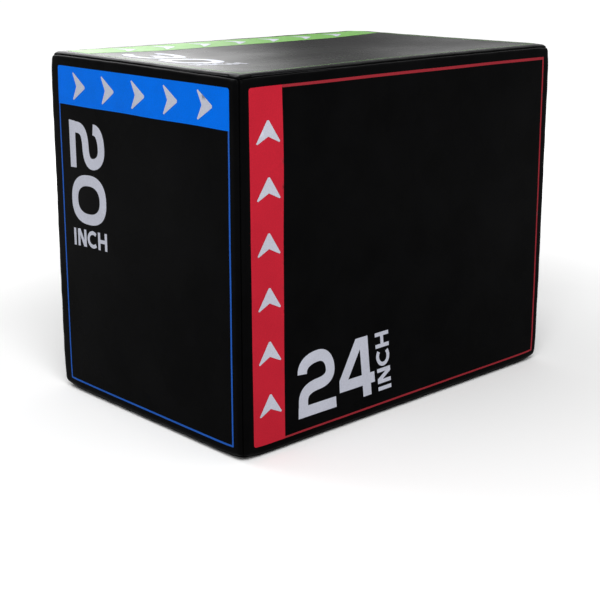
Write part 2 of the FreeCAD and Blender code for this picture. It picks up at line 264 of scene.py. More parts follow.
def zip_offset(x, z):
    """The distance outward from the zip's middle line, negative inside its arch."""
    past_x = abs(x) - (ZIP_HALF_SPAN - ZIP_CORNER_RADIUS)
    past_z = z - (ZIP_TOP - ZIP_CORNER_RADIUS)
    if past_x > 0 and past_z > 0:
        return math.hypot(past_x, past_z) - ZIP_CORNER_RADIUS
    return max(past_x, past_z) - ZIP_CORNER_RADIUS


def hem(point):
    """How deep the back's vinyl turns in along the zip."""
    edge = abs(zip_offset(point.x, point.z)) - ZIP_SLOT_HALF
    if point.z < TAPE_LOW.z or edge > HEM_WIDTH:
        return 0.0
    return HEM_DEPTH * (1 - max(edge, 0.0) / HEM_WIDTH) ** 2


def resting_height(face, a, b):
    """How far a face stands out at a place from its middle, or has sunk if it is the top."""
    if face is FACES["top"]:
        return -TOP_SAG * sunk(face.width / 2 - abs(a)) * sunk(face.height / 2 - abs(b))
    return CROWN * (1 - (2 * a / face.width) ** 2) * (1 - (2 * b / face.height) ** 2)


def soft_wave(face, point, seam):
    """The long soft waves of the vinyl, lower near the seams and none inside the zip."""
    height = TOP_WAVE_HEIGHT if face is FACES["top"] else WAVE_HEIGHT
    eased = EDGE_WAVE_SHARE + (1 - EDGE_WAVE_SHARE) * smooth_step(seam / WAVE_EASE)
    wave = noise.noise_vector(point / WAVE_LENGTH) * (height / 2 * eased)
    if face is FACES["back"]:
        wave *= smooth_step(zip_offset(point.x, point.z) / ZIP_CORNER_RADIUS)
    return wave


def skin(face, u, v, lift=0.0):
    """A point of the cover, u right and v up from a face's lower left, turned in past its edge."""
    turned_in = max(-u, u - face.width, -v, v - face.height, 0.0)
    a = min(max(u, 0.0), face.width) - face.width / 2
    b = min(max(v, 0.0), face.height) - face.height / 2
    past_a, past_b = past_flat(a, face.width), past_flat(b, face.height)
    out = (face.normal * EDGE_RADIUS + face.right * past_a + face.up * past_b).normalized()
    flat = face.normal * (face.depth / 2 - EDGE_RADIUS)
    flat = flat + face.right * (a - past_a) + face.up * (b - past_b)
    point = MIDDLE + flat + out * EDGE_RADIUS
    seam = seam_distance(min(face.width / 2 - abs(a), face.height / 2 - abs(b)))

    corner = Vector([math.copysign(half, way) for half, way in zip(HALF, point - MIDDLE)])
    near_corner = math.exp(-(((MIDDLE + corner - point).length / CORNER_REACH) ** 2))
    towards = Vector([math.copysign(1, way) for way in corner])
    towards.z = max(towards.z, 0.0)
    drawn = towards.normalized() * CORNER_DRAW * near_corner

    height = resting_height(face, a, b)
    height += PUCKER_HEIGHT * noise.noise(point / PUCKER_LENGTH) * math.exp(-seam / PUCKER_REACH)
    height += CORNER_CREASE * noise.noise(point / CREASE_LENGTH) * near_corner
    height -= seam_roll(seam) + turned_in
    if face is FACES["back"]:
        height = min(height - hem(point), 0.0)

    placed = point + out * (height + lift) + soft_wave(face, point, seam) - drawn
    placed.z -= pressed(point)
    if corner.z < 0:
        placed.z += CORNER_LIFT * near_corner
    placed.z = max(placed.z, FLOOR_CLEARANCE + lift)
    return placed


def stations(length):
    """Places across a panel: close together where its edge rolls into the seam, even between."""
    near = [-SEAM_LIP] + [sharp_place(row) for row in EDGE_ROWS]
    start, end = near[-1], length - near[-1]
    count = round((end - start) / CELL)
    even = [start + (end - start) * step / count for step in range(1, count)]
    return near + even + [length - place for place in reversed(near)]


# Meshes

def piece(name, points, faces, body, materials, slot=None, face_materials=None):
    """A smooth mesh piece that rides on a body of the frame."""
    mesh = bpy.data.meshes.new(name)
    mesh.from_pydata(points, [], faces)
    mesh.polygons.foreach_set("use_smooth", [True] * len(faces))
    for material in materials:
        mesh.materials.append(material)
    if face_materials:
        mesh.polygons.foreach_set("material_index", face_materials)
    mesh.update()
    made = bpy.data.objects.new(name, mesh)
    bpy.context.scene.collection.objects.link(made)
    if body:
        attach(made, body)
    return made


def grid_faces(columns, rows):
    """Quads of a grid whose points are stored row by row."""
    return [
        (row * columns + column, row * columns + column + 1,
         (row + 1) * columns + column + 1, (row + 1) * columns + column)
        for row in range(rows - 1) for column in range(columns - 1)
    ]


def contains(outline, point):
    """Whether a closed outline contains a point."""
    inside = False
    for start, end in zip(outline, outline[1:] + outline[:1]):
        if (start[1] > point[1]) != (end[1] > point[1]):
            share = (point[1] - start[1]) / (end[1] - start[1])
            if point[0] < start[0] + share * (end[0] - start[0]):
                inside = not inside
    return inside


def divided(outline, step):
    """A closed outline with more points on its long sides."""
    points = []
    for start, end in zip(outline, outline[1:] + outline[:1]):
        count = max(1, math.ceil(math.dist(start, end) / step))
        points += [
            tuple(start[axis] + (end[axis] - start[axis]) * part / count for axis in range(2))
            for part in range(count)
        ]
    return points


def filled(outlines, scattered, keep):
    """Triangles between outlines and scattered points, where keep says so of their middles."""
    points, edges = [], []
    for outline in outlines:
        first = len(points)
        points += outline
        edges += [(first + at, first + (at + 1) % len(outline)) for at in range(len(outline))]
    points = [Vector(point) for point in points + scattered]
    found = delaunay_2d_cdt(points, edges, [], WHOLE_HULL, SAME_PLACE)
    places, triangles = [tuple(place) for place in found[0]], found[2]

    def middle(triangle):
        return tuple(sum(places[at][axis] for at in triangle) / 3 for axis in range(2))

    return places, [tuple(triangle) for triangle in triangles if keep(middle(triangle))]


def thick(points, faces, backs):
    """A closed shell from front points, their faces and back points, with material numbers."""
    count = len(points)
    uses = {}
    for face in faces:
        for start, end in zip(face, face[1:] + face[:1]):
            key = (min(start, end), max(start, end))
            uses[key] = None if key in uses else (start, end)
    walls = [
        (end, start, start + count, end + count) for start, end in filter(None, uses.values())
    ]
    turned_faces = [tuple(at + count for at in reversed(face)) for face in faces]
    numbers = [0] * len(faces) + [1] * len(turned_faces) + [0] * len(walls)
    return points + backs, list(faces) + turned_faces + walls, numbers


# Materials

def math_node(tree, operation, first, second):
    """A math node on two sources or numbers."""
    node = tree.nodes.new("ShaderNodeMath")
    node.operation = operation
    for socket, source in zip(node.inputs, (first, second)):
        if isinstance(source, (int, float)):
            socket.default_value = source
        else:
            tree.links.new(source, socket)
    return node.outputs["Value"]


class Paint:
    """A node material with one Principled shader, and short ways to add textures to it."""

    def __init__(self, name, **constants):
        self.material = bpy.data.materials.new(name)
        self.material.use_nodes = True
        self.tree = self.material.node_tree
        self.nodes, self.links = self.tree.nodes, self.tree.links
        self.shader = self.nodes["Principled BSDF"]
        for socket, value in constants.items():
            self.shader.inputs[socket.replace("_", " ")].default_value = value
        self.place = self.nodes.new("ShaderNodeTexCoord").outputs["Object"]

    def texture(self, kind, **values):
        """A texture node over the piece's own place."""
        node = self.nodes.new(f"ShaderNodeTex{kind}")
        for key, value in values.items():
            if key in node.inputs:
                node.inputs[key].default_value = value
            else:
                setattr(node, key, value)
        self.links.new(self.place, node.inputs["Vector"])
        return node.outputs[0]

    def ramp(self, source, *stops):
        """A colour ramp between two (place, colour) stops."""
        node = self.nodes.new("ShaderNodeValToRGB")
        for element, (place, colour) in zip(node.color_ramp.elements, stops):
            element.position = place
            element.color = (*colour, 1)
        self.links.new(source, node.inputs["Fac"])
        return node.outputs["Color"]

    def span(self, source, low, high):
        """A 0 to 1 value moved to a span."""
        node = self.nodes.new("ShaderNodeMapRange")
        node.inputs["To Min"].default_value, node.inputs["To Max"].default_value = low, high
        self.links.new(source, node.inputs["Value"])
        return node.outputs["Result"]

    def math(self, operation, first, second):
        """A math node in this material."""
        return math_node(self.tree, operation, first, second)

    def mixed(self, first, first_share, second, second_share):
        """Two sources added by shares."""
        first = self.math("MULTIPLY", first, first_share)
        return self.math("ADD", first, self.math("MULTIPLY", second, second_share))

    def bump(self, *layers):
        """Bump layers of (source, depth in metres, strength), on top of each other."""
        normal = None
        for source, depth, strength in layers:
            node = self.nodes.new("ShaderNodeBump")
            node.inputs["Distance"].default_value = depth
            node.inputs["Strength"].default_value = strength
            self.links.new(source, node.inputs["Height"])
            if normal:
                self.links.new(normal, node.inputs["Normal"])
            normal = node.outputs["Normal"]
        self.set("Normal", normal)

    def set(self, socket, source):
        """Feeds a socket of the shader."""
        self.links.new(source, self.shader.inputs[socket])

    def colour(self, source, *stops):
        """Colours the surface by a ramp."""
        self.set("Base Color", self.ramp(source, *stops))


def shade(colour, factor):
    """A colour made lighter or darker."""
    return tuple(channel * factor for channel in colour)


def dulled(colour, grey_share):
    """A colour mixed with a grey as bright as itself."""
    grey = sum(share * channel for share, channel in zip(BRIGHTNESS_SHARES, colour))
    return tuple(channel + (grey - channel) * grey_share for channel in colour)


def vinyl():
    """Black coated vinyl with a fine pebble grain and slightly uneven gloss."""
    paint = Paint("vinyl", Specular_IOR_Level=0.008)
    cloudy = paint.texture("Noise", Scale=14.0, Detail=4.0)
    grain = paint.texture("Voronoi", Scale=900.0)
    fine = paint.texture("Noise", Scale=2600.0, Detail=2.0)
    creases = paint.texture("Noise", Scale=45.0, Detail=3.0)
    paint.colour(cloudy, (0.3, (0.0014, 0.0014, 0.0015)), (0.7, (0.0024, 0.0024, 0.0026)))
    paint.set("Roughness", paint.span(cloudy, 0.22, 0.33))
    paint.bump((creases, 0.0007, 0.12), (grain, 0.00005, 0.10), (fine, 0.00002, 0.1))
    return paint.material


def backing():
    """The knitted back of the vinyl."""
    paint = Paint("vinyl_backing", Roughness=0.9, Specular_IOR_Level=0.1)
    wale = paint.texture("Wave", Scale=260.0, Distortion=1.2, bands_direction="X")
    course = paint.texture("Wave", Scale=210.0, Distortion=1.2, bands_direction="Z")
    knit = paint.math("MULTIPLY", wale, course)
    paint.colour(knit, (0.0, (0.030, 0.030, 0.033)), (1.0, (0.085, 0.085, 0.09)))
    paint.bump((knit, 0.0003, 0.8))
    return paint.material


def ink(name, colour):
    """Printed ink on the vinyl: an even film with the vinyl's grain and a slight mottle."""
    paint = Paint(name, Specular_IOR_Level=0.02)
    mottle = paint.texture("Noise", Scale=420.0, Detail=3.0)
    worn = paint.texture("Noise", Scale=16.0, Detail=4.0)
    grain = paint.texture("Voronoi", Scale=900.0)
    tone = paint.mixed(mottle, 0.6, worn, 0.4)
    paint.colour(tone, (0.3, shade(colour, 0.86)), (0.7, shade(colour, 1.08)))
    paint.set("Roughness", paint.span(worn, 0.28, 0.40))
    paint.bump((grain, 0.00007, 0.2))
    return paint.material


def foam(name, colour, cells):
    """Cut foam with open cells and faint long saw marks."""
    paint = Paint(name, Roughness=0.95, Specular_IOR_Level=0.1)
    cell = paint.texture("Voronoi", Scale=cells)
    cloudy = paint.texture("Noise", Scale=9.0, Detail=5.0)
    saw = paint.texture("Wave", Scale=55.0, Distortion=2.0, bands_direction="Z")
    tone = paint.mixed(cell, 0.6, cloudy, 0.5)
    paint.colour(tone, (0.2, shade(colour, 0.72)), (0.75, shade(colour, 1.05)))
    paint.bump((saw, 0.0005, 0.25), (cell, 0.0008, 0.6))
    return paint.material


def woven(name, colour, threads):
    """Woven tape: crossing threads with a slight fuzz."""
    paint = Paint(name, Roughness=0.85, Specular_IOR_Level=0.15)
    warp = paint.texture("Wave", Scale=threads, Distortion=0.6, bands_direction="DIAGONAL")
    weft = paint.texture("Wave", Scale=threads * 0.8, Distortion=0.6, bands_direction="Z")
    fuzz = paint.texture("Noise", Scale=1800.0, Detail=2.0)
    weave = paint.math("MAXIMUM", warp, weft)
    paint.colour(weave, (0.2, shade(colour, 0.6)), (0.9, shade(colour, 1.3)))
    paint.bump((weave, 0.0002, 0.7), (fuzz, 0.0001, 0.3))
    return paint.material


def coil():
    """Black nylon of the zip's teeth, worn paler in places."""
    paint = Paint("zip_nylon", Specular_IOR_Level=0.4)
    cloudy = paint.texture("Noise", Scale=120.0, Detail=3.0)
    paint.colour(cloudy, (0.3, (0.010, 0.010, 0.011)), (0.75, (0.035, 0.035, 0.038)))
    paint.set("Roughness", paint.span(cloudy, 0.32, 0.5))
    paint.bump((paint.texture("Noise", Scale=3000.0), 0.00004, 0.3))
    return paint.material


def enamel():
    """Dark enamelled die-cast metal, rubbed bright in small patches."""
    paint = Paint("zip_enamel", Specular_IOR_Level=0.5)
    patches = paint.texture("Noise", Scale=260.0, Detail=5.0)
    rubbed = paint.ramp(patches, (0.58, (0, 0, 0)), (0.68, (1, 1, 1)))
    paint.colour(rubbed, (0.0, (0.035, 0.035, 0.038)), (1.0, (0.32, 0.31, 0.30)))
    paint.set("Metallic", rubbed)
    paint.set("Roughness", paint.span(rubbed, 0.30, 0.42))
    paint.bump((paint.texture("Noise", Scale=900.0, Detail=3.0), 0.00008, 0.4))
    return paint.material


def thread():
    """Twisted sewing thread."""
    paint = Paint("sewing_thread", Roughness=0.7, Specular_IOR_Level=0.3)
    twist = paint.texture("Wave", Scale=900.0, Distortion=0.5, bands_direction="DIAGONAL")
    paint.colour(twist, (0.2, (0.012, 0.012, 0.013)), (0.9, (0.05, 0.05, 0.053)))
    paint.bump((twist, 0.0001, 0.6))
    return paint.material


VINYL, BACKING, COIL, ENAMEL, THREAD = vinyl(), backing(), coil(), enamel(), thread()
CORE_FOAM = foam("core_foam", (0.74, 0.74, 0.71), 520.0)
PAD_FOAM = foam("pad_foam", (0.56, 0.57, 0.55), 420.0)
BINDING = woven("binding_weave", (0.02, 0.02, 0.022), 620.0)
TAPE = woven("tape_weave", (0.018, 0.018, 0.02), 560.0)
INKS = {name: ink(f"ink_{name}", colour) for name, colour in INK_COLOURS.items()}
LINE_COLOURS = {
    name: shade(dulled(INK_COLOURS[name], LINE_GREY_SHARE), LINE_INK_SHARE)
    for name in ("red", "blue", "green")
}
LINE_INKS = {name: ink(f"thin_ink_{name}", colour) for name, colour in LINE_COLOURS.items()}


# Cover panels

def cover_panel(name):
    """A whole panel of the cover, turned in along its four seams."""
    face = FACES[name]
    across, along = stations(face.width), stations(face.height)
    points = [skin(face, u, v) for v in along for u in across]
    faces = grid_faces(len(across), len(along))
    made = piece(f"vinyl_{name}", points, faces, "box", [VINYL], "cover_vinyl")
    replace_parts(made, f"cover_{name}_panel")


def arch(offset, low, step=ARCH_STEP):
    """Points (x, z) along the zip's arch moved outward, from its lower end at -X to that at +X."""
    corner_x, corner_z = ZIP_HALF_SPAN - ZIP_CORNER_RADIUS, ZIP_TOP - ZIP_CORNER_RADIUS
    radius = ZIP_CORNER_RADIUS + offset
    bend = [math.radians(90 * part / ARCH_BENDS) for part in range(1, ARCH_BENDS)]
    count = math.ceil(corner_x / step)
    half = [(corner_x * part / count, ZIP_TOP + offset) for part in range(count + 1)]
    half += [
        (corner_x + radius * math.sin(turn), corner_z + radius * math.cos(turn)) for turn in bend
    ]
    count = math.ceil((corner_z - low) / step)
    half += [
        (ZIP_HALF_SPAN + offset, corner_z - (corner_z - low) * part / count)
        for part in range(count + 1)
    ]
    return [(-x, z) for x, z in reversed(half[1:])] + half


def back_place(point):
    """From (x, z) to u and v on the back."""
    return HALF.x - point[0], point[1]


def shell(name, places, triangles, body):
    """A thick piece of the back's vinyl with its knitted back, cut from a flat size of cloth."""
    face = FACES["back"]
    fronts = [skin(face, *back_place(place)) for place in places]
    backs = [skin(face, *back_place(place), -VINYL_THICKNESS) for place in places]
    points, faces, numbers = thick(fronts, triangles, backs)
    made = piece(name, points, faces, body, [VINYL, BACKING], "cover_vinyl", numbers)
    return made


def back_frame():
    """The rim of the back outside the zip, with the sill below the door's fold."""
    fold, foot = FOLD_HEIGHT - FOLD_HALF, TAPE_LOW.z
    slot = arch(ZIP_SLOT_HALF, foot)
    slot += divided(
        [(DOOR_HALF, foot), (DOOR_HALF, fold), (-DOOR_HALF, fold), (-DOOR_HALF, foot)], CELL
    )
    rows = [arch(ZIP_SLOT_HALF + HEM_WIDTH * share, foot) for share in HEM_ROWS]
    sill_edges = [
        (way * (DOOR_HALF - HEM_WIDTH * share), foot + (fold - foot) * part / SILL_ROWS)
        for way in (-1, 1) for share in HEM_ROWS for part in range(SILL_ROWS + 1)
    ]

    def clear(place):
        """Whether a place lies below the zip, or on the frame clear of the rows along it."""
        offset, height = zip_offset(*place), place[1]
        if height < foot - CELL / 2:
            return True
        aside = abs(offset) - ZIP_SLOT_HALF > HEM_WIDTH + CELL / 3
        return aside and (offset > 0 or height <= fold - CELL / 2)

    places = [(HALF.x - u, v) for v in stations(2 * HALF.z) for u in stations(2 * HALF.x)]
    scattered = [place for place in places if clear(place)]
    scattered += [place for row in rows for place in row] + sill_edges
    places, triangles = filled([slot], scattered, lambda middle: not contains(slot, middle))
    triangles = [tuple(reversed(triangle)) for triangle in triangles]
    made = shell("vinyl_back_frame", places, triangles, "box")
    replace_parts(made, "cover_back_frame")


def back_door():
    """The panel inside the zip, above its fold."""
    fold = FOLD_HEIGHT + FOLD_HALF
    count = round(2 * ZIP_HALF_SPAN / CELL)
    outline = arch(-ZIP_SLOT_HALF, fold)
    outline += [(DOOR_HALF - 2 * DOOR_HALF * part / count, fold) for part in range(1, count)]
    rows = [arch(-ZIP_SLOT_HALF - HEM_WIDTH * share, fold + CELL / 4) for share in HEM_ROWS]
    columns, lines = round(2 * DOOR_HALF / (2 * CELL)), round((ZIP_TOP - fold) / (2 * CELL))
    scattered = [
        (-DOOR_HALF + 2 * DOOR_HALF * column / columns, fold + (ZIP_TOP - fold) * line / lines)
        for column in range(1, columns) for line in range(1, lines)
    ]
    clear = -ZIP_SLOT_HALF - HEM_WIDTH - CELL / 2
    scattered = [place for place in scattered if zip_offset(*place) < clear]
    scattered += [place for row in rows for place in row]
    places, triangles = filled([outline], scattered, lambda middle: contains(outline, middle))
    triangles = [tuple(reversed(triangle)) for triangle in triangles]
    made = shell("vinyl_back_door", places, triangles, "door")
    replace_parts(made, "cover_back_door")


def fold_strip():
    """The strip of vinyl along the line where the door folds down over the sill."""
    columns = round(2 * ZIP_HALF_SPAN / CELL)
    hem_columns = [DOOR_HALF - HEM_WIDTH * share for share in (0, *HEM_ROWS)]
    even = [-DOOR_HALF + 2 * DOOR_HALF * column / columns for column in range(2, columns - 1)]
    across = sorted([-x for x in hem_columns] + even + hem_columns, reverse=True)
    low, steps = FOLD_HEIGHT - FOLD_HALF, FOLD_ROWS - 1
    heights = [low + 2 * FOLD_HALF * row / steps for row in range(FOLD_ROWS)]
    places = [(x, z) for z in heights for x in across]
    faces = grid_faces(len(across), FOLD_ROWS)
    made = shell("vinyl_fold_strip", places, faces, None)
    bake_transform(made)


# Zip

def along_arch(offset, low, pitch):
    """Evenly spaced (point, way along) places on the zip's arch moved outward."""
    line = [Vector(point) for point in arch(offset, low, FINE_ARCH_STEP)]
    found, left = [], pitch / 2
    for start, end in zip(line, line[1:]):
        way = end - start
        length = way.length
        while left <= length:
            found.append((start + way * (left / length), way / length))
            left += pitch
        left -= length
    return found


def tooth(points, faces, middle, along, outward):
    """One rounded tooth of the zip, added outward of the zip's middle line."""
    swelling = CHAIN_GAP_HALF + TOOTH_SWELLING * (CHAIN_HALF - CHAIN_GAP_HALF)
    base, height = TAPE_HIGH.y, CHAIN_HIGH.y - TAPE_HIGH.y
    first = len(points)
    for reach, size in zip((CHAIN_GAP_HALF, swelling, CHAIN_HALF), TOOTH_SIZES):
        half = TOOTH_PITCH * TOOTH_SHARE / 2 * size
        rise = height * (TOOTH_LOWEST + (1 - TOOTH_LOWEST) * size)
        for step in range(TOOTH_SIDES):
            turn = math.pi * step / (TOOTH_SIDES - 1)
            spot = middle + outward * reach + along * (math.cos(turn) * half)
            points.append((spot.x, base + math.sin(turn) * rise, spot.y))
    last = first + TOOTH_SIDES * (len(TOOTH_SIZES) - 1)
    for ring in range(first, last, TOOTH_SIDES):
        for a in range(ring, ring + TOOTH_SIDES - 1):
            faces.append((a, a + TOOTH_SIDES, a + TOOTH_SIDES + 1, a + 1))
    faces.append(tuple(range(first, first + TOOTH_SIDES)))
    faces.append(tuple(reversed(range(last, last + TOOTH_SIDES))))


def zip_teeth():
    """The rows of teeth: outer, door's, and the door side's ends on the sill."""
    rows = {"outer": ([], []), "door": ([], []), "sill": ([], [])}
    for middle, along in along_arch(0.0, CHAIN_LOW.z, TOOTH_PITCH):
        outward = Vector((-along.y, along.x))
        tooth(*rows["outer"], middle, along, outward)
        inner = "door" if middle.y > FOLD_HEIGHT else "sill"
        tooth(*rows[inner], middle + along * TOOTH_PITCH / 2, along, -outward)
    for row, body, node in (
        ("outer", "box", "zip_outer_chain"), ("door", "door", "zip_door_chain"),
        ("sill", "box", "zip_sill_chains"),
    ):
        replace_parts(piece(f"zip_teeth_{row}", *rows[row], body, [COIL], "zip_teeth"), node)


def stitch_row(name, offset, low, body):
    """A row of stitches beside the zip, sunk a little into the vinyl."""
    points, faces = [], []
    for middle, along in along_arch(offset, low, STITCH_LENGTH + STITCH_GAP):
        outward = Vector((-along.y, along.x))
        surface = skin(FACES["back"], *back_place(middle))
        first = len(points)
        for reach, size in STITCH_RINGS:
            radius = THREAD_RADIUS * size
            lift = THREAD_RADIUS * (STITCH_RISE - STITCH_DIP * reach * reach)
            for side in range(THREAD_SIDES):
                turn = 2 * math.pi * side / THREAD_SIDES
                spot = middle + along * (reach * STITCH_LENGTH / 2)
                spot = spot + outward * (math.cos(turn) * radius)
                points.append((spot.x, surface.y + (radius * math.sin(turn) + lift), spot.y))
        for ring in range(first, len(points) - THREAD_SIDES, THREAD_SIDES):
            for side in range(THREAD_SIDES):
                a, b = ring + side, ring + (side + 1) % THREAD_SIDES
                faces.append((a, b, b + THREAD_SIDES, a + THREAD_SIDES))
    piece(name, points, faces, body, [THREAD])


# Foam

def crowded(share):
    """An even share from 0 to 1 moved nearer to its closer end."""
    return (1 - FOAM_CROWDING) * share + FOAM_CROWDING * smooth_step(share)


def foam_pad(name):
    """A soft pad whose outer side follows the cover and gives way to the seams and the zip."""
    face, (low, high) = FACES[name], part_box(f"foam_pad_{name}")
    ends = (low - MIDDLE, high - MIDDLE)
    inside = min(abs(end.dot(face.normal)) for end in ends)
    spans = []
    for axis, length in ((face.right, face.width), (face.up, face.height)):
        start, stop = sorted(end.dot(axis) + length / 2 for end in ends)
        count = round((stop - start) / FOAM_CELL)
        shares = [crowded(step / count) for step in range(count + 1)]
        spans.append([start + (stop - start) * share for share in shares])
    across, along = spans
    fronts, backs = [], []
    for u, v in ((u, v) for v in along for u in across):
        seam = seam_distance(max(0.0, min(u, face.width - u, v, face.height - v)))
        depth = FOAM_EASE + FOAM_EDGE_DRAW * math.exp(-((seam / FOAM_EDGE_REACH) ** 2))
        point = skin(face, u, v, -depth)
        if name == "back" and point.z > TAPE_LOW.z:
            aside = zip_offset(point.x, point.z) / ZIP_PRESS_REACH
            point -= face.normal * ZIP_PRESS * math.exp(-(aside ** 2))
        point = Vector([
            min(max(way, least), most) for way, least, most in zip(point, low, high)
        ])
        fronts.append(point)
        backs.append(point - face.normal * ((point - MIDDLE).dot(face.normal) - inside))
    points, faces, _ = thick(fronts, grid_faces(len(across), len(along)), backs)
    made = piece(f"foam_{name}", points, faces, "box", [PAD_FOAM], "pad_foam")
    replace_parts(made, f"foam_pad_{name}")


# Printed marks

def in_digit(*shares):
    """Places in a numeral, from shares of its width and height."""
    return [(x * DIGIT_WIDTH, y * DIGIT_HEIGHT) for x, y in shares]


def curve(start, *bends):
    """Points along Bezier bends in a numeral, each given by two handles and an end."""
    points = in_digit(start)
    for bend in bends:
        handles = (points[-1], *in_digit(*bend))
        for step in range(1, CURVE_STEPS + 1):
            t = step / CURVE_STEPS
            weights = ((1 - t) ** 3, 3 * t * (1 - t) ** 2, 3 * t * t * (1 - t), t ** 3)
            points.append(tuple(
                sum(weight * place[axis] for weight, place in zip(weights, handles))
                for axis in range(2)
            ))
    return points


def stroke(line, width):
    """The outline of a stroke of even width along a line."""
    left, right = [], []
    for at, point in enumerate(line):
        before, after = line[max(at - 1, 0)], line[min(at + 1, len(line) - 1)]
        way = Vector((after[0] - before[0], after[1] - before[1])).normalized()
        left.append((point[0] - way.y * width / 2, point[1] + way.x * width / 2))
        right.append((point[0] + way.y * width / 2, point[1] - way.x * width / 2))
    return left + right[::-1]


def box_outline(left, low, right, high):
    """The outline of an upright rectangle."""
    return [(left, low), (right, low), (right, high), (left, high)]


def oval(centre, reach):
    """An oval, a little squarer than an ellipse."""
    points = []
    for step in range(OVAL_STEPS):
        turn = 2 * math.pi * step / OVAL_STEPS
        x, y = (
            math.copysign(abs(way) ** (2 / OVAL_POWER), way)
            for way in (math.cos(turn), math.sin(turn))
        )
        points.append((centre[0] + reach[0] * x, centre[1] + reach[1] * y))
    return points


def digit(number):
    """Outlines and holes of a heavy plain numeral 0, 2, 3 or 4, from its lower left corner."""
    w, h, s = DIGIT_WIDTH, DIGIT_HEIGHT, DIGIT_STROKE
    if number == "0":
        middle, half = (0.57 * w, h / 2), (0.53 * w, h / 2)
        return [oval(middle, half)], [oval(middle, (half[0] - s, half[1] - s))]
    if number == "2":
        spine = curve(
            (0.168, 0.684),
            ((0.168, 0.83), (0.35, 0.908), (0.60, 0.908)),
            ((0.78, 0.908), (0.885, 0.80), (0.885, 0.655)),
            ((0.885, 0.53), (0.74, 0.472), (0.56, 0.466)),
            ((0.30, 0.455), (0.145, 0.40), (0.140, 0.22)),
            ((0.138, 0.18), (0.135, 0.15), (0.132, 0.12)),
        )
        base = [(-0.008 * w, 0), (0.982 * w, 0), (0.982 * w, 0.95 * s), (0.014 * w, 0.95 * s)]
        return [stroke(spine, s), base], []
    if number == "3":
        upper = curve(
            (0.12, 0.74),
            ((0.15, 0.86), (0.30, 0.91), (0.47, 0.91)),
            ((0.70, 0.91), (0.83, 0.83), (0.83, 0.72)),
            ((0.83, 0.60), (0.68, 0.53), (0.42, 0.53)),
        )
        lower = curve(
            (0.42, 0.53),
            ((0.72, 0.53), (0.88, 0.45), (0.88, 0.31)),
            ((0.88, 0.17), (0.72, 0.09), (0.47, 0.09)),
            ((0.28, 0.09), (0.14, 0.15), (0.10, 0.29)),
        )
        return [stroke(upper, s), stroke(lower, s)], []
    stem_left, stem_right, foot, head = 0.64, 0.87, 0.011, 0.985
    bar_low, bar_high, bar_end = 0.20, 0.374, 0.99
    outline = in_digit(
        (0.01, bar_low), (stem_left, bar_low), (stem_left, foot), (stem_right, foot),
        (stem_right, bar_low), (bar_end, bar_low), (bar_end, bar_high), (stem_right, bar_high),
        (stem_right, head), (0.54, head), (0.02, 0.388),
    )
    return [outline], [in_digit((0.26, bar_high), (stem_left, bar_high), (stem_left, 0.803))]


def unit_letters():
    """The plain unit word: each letter's start as a share of its length, and its outlines."""
    c, s, bowl_turns = UNIT_HEIGHT, UNIT_STROKE, range(48, 313, 12)
    narrow, round_half, broad = (share * UNIT_LENGTH for share in (0.26, 0.168, 0.265))
    bowl = [
        (round_half + (round_half - s / 2) * math.cos(math.radians(turn)),
         c / 2 + (c / 2 - s / 2) * math.sin(math.radians(turn)))
        for turn in bowl_turns
    ]
    return [
        (0.0, [box_outline(0, 0, s, c)]),
        (0.122, [box_outline(0, 0, s, c), box_outline(narrow - s, 0, narrow, c),
                 [(0, c), (1.25 * s, c), (narrow, 0), (narrow - 1.25 * s, 0)]]),
        (0.413, [stroke(bowl, s)]),
        (0.735, [box_outline(0, 0, s, c), box_outline(broad - s, 0, broad, c),
                 box_outline(0, c / 2 - s / 2, broad, c / 2 + s / 2)]),
    ]


def chevron(tip):
    """A notched arrowhead that points up, from the place of its tip."""
    x, foot, half, blunt = tip[0], tip[1] - CHEVRON_LENGTH, CHEVRON_WIDTH / 2, CHEVRON_BLUNT
    return [
        (x - blunt, tip[1]), (x - half, foot + blunt), (x - half + blunt, foot),
        (x, foot + CHEVRON_NOTCH), (x + half - blunt, foot), (x + half, foot + blunt),
        (x + blunt, tip[1]),
    ]


def moved(outline, u, v, lean=0.0):
    """An outline moved on its face, leaning sideways with its height."""
    return [(u + x + lean * y, v + y) for x, y in outline]


def turned(outline):
    """An outline turned a quarter turn to the left."""
    return [(-y, x) for x, y in outline]


def printed(name, face, shapes, holes, colour, lift, material=None):
    """A film of ink on a face, from outlines that may overlap and holes in them."""
    shapes = [divided(shape, INK_STEP) for shape in shapes]
    holes = [divided(hole, INK_STEP) for hole in holes]

    def keep(place):
        within = any(contains(shape, place) for shape in shapes)
        return within and not any(contains(hole, place) for hole in holes)

    spans = []
    for axis in range(2):
        low = min(point[axis] for shape in shapes for point in shape)
        high = max(point[axis] for shape in shapes for point in shape)
        count = max(1, round((high - low) / INK_STEP))
        spans.append([low + (high - low) * step / count for step in range(1, count)])
    scattered = [(u, v) for u in spans[0] for v in spans[1] if keep((u, v))]
    places, triangles = filled(shapes + holes, scattered, keep)
    points = [skin(FACES[face], *place, lift) for place in places]
    piece(name, points, triangles, "box", [material or INKS[colour]], f"print_{colour}")


